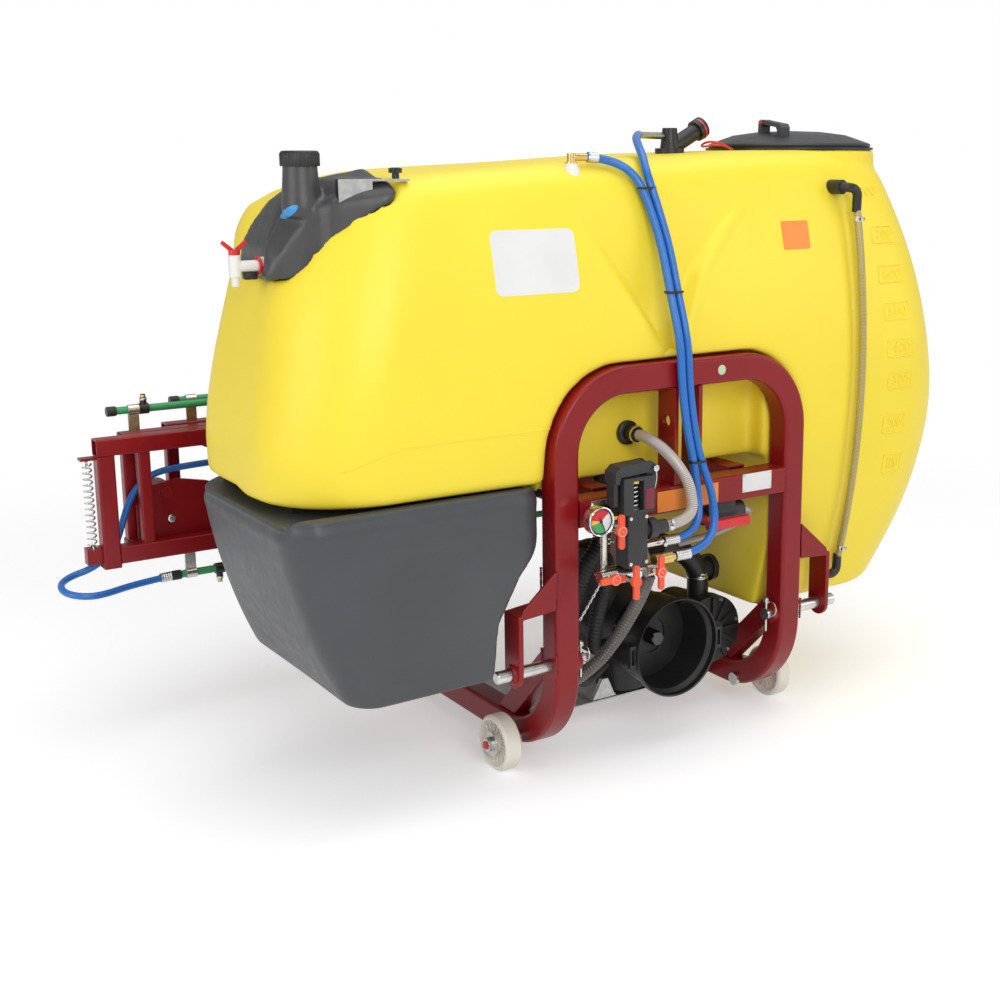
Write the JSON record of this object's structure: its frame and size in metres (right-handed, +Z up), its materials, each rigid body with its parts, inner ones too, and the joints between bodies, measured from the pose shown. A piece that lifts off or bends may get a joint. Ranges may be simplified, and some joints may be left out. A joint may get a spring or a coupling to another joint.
{
  "type": "mounted field sprayer with folded boom",
  "caption": "Tractor-mounted sprayer: yellow tank on a red bow frame with small wheels, grey rinse tank, pump, control valves and a folding rear boom",
  "frame": {"origin": "middle of the whole part seen from above, on the floor that the wheels stand on", "axes": "X runs across the machine along the boom, with the rinse tank at negative X; Y runs from the tractor side to the boom; Z is up"},
  "size_m": [2.28, 1.138, 1.4176],
  "materials": {
    "frame_red": "gloss dark red paint over welded steel",
    "tank_yellow": "rotomoulded polyethylene, soft satin",
    "tank_grey": "rotomoulded dark grey polyethylene",
    "black_plastic": "moulded black plastic",
    "basket_plastic": "dark mesh basket",
    "zinc_steel": "zinc plated",
    "brass": "cast and turned, partly nickel plated",
    "cast_alloy": "cast aluminium feet on a steel plate",
    "wheel_white": "off-white moulded plastic",
    "tap_white": "white plastic",
    "lever_orange": "orange-red plastic",
    "handle_red": "red plastic",
    "gauge_chrome": "chromed case with a plain coloured dial",
    "hose_blue": "satin blue hose",
    "hose_clear": "clear reinforced hose",
    "pipe_green": "green plastic pipe with black and steel fittings",
    "plate_plain": "plain plates, one white and one orange"
  },
  "bodies": {
    "chassis": {"bow_frame": "frame_red", "crossbar": "frame_red", "mast_ears": "frame_red", "link_brackets": "frame_red", "link_pins": "zinc_steel", "split_pins": "zinc_steel", "leg_braces": "frame_red", "pump_rails": "frame_red", "rear_posts": "frame_red", "tank_rails": "frame_red", "wheel_axles": "zinc_steel", "main_tank": "tank_yellow", "rinse_tank": "tank_grey", "hand_wash_tank": "tank_grey", "filler_ring": "black_plastic", "filler_basket": "basket_plastic", "hand_wash_strap": "zinc_steel", "hand_wash_tap": "tap_white", "level_tube": "hose_clear", "tank_fittings": "black_plastic", "control_block": "black_plastic", "regulator_body": "black_plastic", "regulator_spring": "zinc_steel", "pressure_gauge": "gauge_chrome", "valve_bodies": "brass", "selector_valve": "black_plastic", "pump_body": "black_plastic", "pump_feet": "cast_alloy", "pto_guard": "black_plastic", "suction_filter": "black_plastic", "suction_pipes": "black_plastic", "blue_hoses": "hose_blue", "cable_ties": "black_plastic", "return_hose": "hose_clear", "suction_hose": "hose_clear", "hose_fittings": "zinc_steel", "type_plates": "plate_plain"},
    "wheel_front_left": {"wheel_front_left": "wheel_white"},
    "wheel_front_right": {"wheel_front_right": "wheel_white"},
    "wheel_rear_left": {"wheel_rear_left": "wheel_white"},
    "wheel_rear_right": {"wheel_rear_right": "wheel_white"},
    "filler_lid": {"filler_lid": "black_plastic"},
    "hand_wash_cap": {"hand_wash_cap": "black_plastic"},
    "tap_handle": {"tap_handle": "lever_orange"},
    "star_knob": {"star_knob": "black_plastic"},
    "regulator_lever": {"regulator_lever": "black_plastic"},
    "valve_lever_1": {"valve_lever_1": "lever_orange"},
    "valve_lever_2": {"valve_lever_2": "lever_orange"},
    "valve_lever_3": {"valve_lever_3": "lever_orange"},
    "valve_lever_4": {"valve_lever_4": "lever_orange"},
    "selector_handle": {"selector_handle": "handle_red"},
    "pto_shaft": {"pto_shaft": "zinc_steel"},
    "boom_carriage": {"boom_centre": "frame_red", "spray_line_centre": "pipe_green", "boom_springs": "zinc_steel", "boom_hose": "hose_blue"},
    "boom_left": {"boom_wing_left": "frame_red", "spray_line_left": "pipe_green"},
    "boom_right": {"boom_wing_right": "frame_red", "spray_line_right": "pipe_green"}
  },
  "joints": [
    {"name": "wheel_front_left_spin", "type": "hinge", "parent": "chassis", "child": "wheel_front_left", "pos_m": [-0.393, -0.305, 0.0625], "axis": [1, 0, 0], "continuous": true},
    {"name": "wheel_front_right_spin", "type": "hinge", "parent": "chassis", "child": "wheel_front_right", "pos_m": [0.393, -0.305, 0.0625], "axis": [1, 0, 0], "continuous": true},
    {"name": "wheel_rear_left_spin", "type": "hinge", "parent": "chassis", "child": "wheel_rear_left", "pos_m": [-0.393, 0.227, 0.0625], "axis": [1, 0, 0], "continuous": true},
    {"name": "wheel_rear_right_spin", "type": "hinge", "parent": "chassis", "child": "wheel_rear_right", "pos_m": [0.393, 0.227, 0.0625], "axis": [1, 0, 0], "continuous": true},
    {"name": "filler_lid_hinge", "type": "hinge", "parent": "chassis", "child": "filler_lid", "pos_m": [0.571, 0.09, 1.35], "axis": [-1, 0, 0], "range_deg": [0, 110]},
    {"name": "hand_wash_cap_lift", "type": "slide", "parent": "chassis", "child": "hand_wash_cap", "axis": [0, 0, 1], "range_m": [0, 0.1]},
    {"name": "tap_turn", "type": "hinge", "parent": "chassis", "child": "tap_handle", "pos_m": [-0.905, -0.201, 1.14], "axis": [0, 0, 1], "range_deg": [0, 90]},
    {"name": "star_knob_turn", "type": "hinge", "parent": "chassis", "child": "star_knob", "pos_m": [-0.63029, -0.34453, 1.296], "axis": [0, 0, 1], "continuous": true},
    {"name": "regulator_lever_lift", "type": "hinge", "parent": "chassis", "child": "regulator_lever", "pos_m": [-0.14, -0.508, 0.69], "axis": [0, 1, 0], "range_deg": [0, 70]},
    {"name": "valve_lever_1_turn", "type": "hinge", "parent": "chassis", "child": "valve_lever_1", "pos_m": [-0.238, -0.549, 0.571], "axis": [0, 1, 0], "range_deg": [0, 90]},
    {"name": "valve_lever_2_turn", "type": "hinge", "parent": "chassis", "child": "valve_lever_2", "pos_m": [-0.253, -0.549, 0.47], "axis": [0, 1, 0], "range_deg": [0, 90]},
    {"name": "valve_lever_3_turn", "type": "hinge", "parent": "chassis", "child": "valve_lever_3", "pos_m": [-0.214, -0.569, 0.463], "axis": [0, 1, 0], "range_deg": [0, 90]},
    {"name": "valve_lever_4_turn", "type": "hinge", "parent": "chassis", "child": "valve_lever_4", "pos_m": [-0.134, -0.549, 0.466], "axis": [0, 1, 0], "range_deg": [0, 90]},
    {"name": "selector_turn", "type": "hinge", "parent": "chassis", "child": "selector_handle", "pos_m": [0.07, -0.429, 0.536], "axis": [1, 0, 0], "range_deg": [0, 90]},
    {"name": "pto_spin", "type": "hinge", "parent": "chassis", "child": "pto_shaft", "pos_m": [0, -0.333, 0.238], "axis": [0, 1, 0], "continuous": true},
    {"name": "boom_lift", "type": "slide", "parent": "chassis", "child": "boom_carriage", "axis": [0, 0, 1], "range_m": [0, 0.58]},
    {"name": "boom_left_fold", "type": "hinge", "parent": "boom_carriage", "child": "boom_left", "pos_m": [-0.87, 0.473, 0.55], "axis": [0, -1, 0], "range_deg": [0, 180]},
    {"name": "boom_right_fold", "type": "hinge", "parent": "boom_carriage", "child": "boom_right", "pos_m": [0.87, 0.537, 0.55], "axis": [0, 1, 0], "range_deg": [0, 180]}
  ]
}
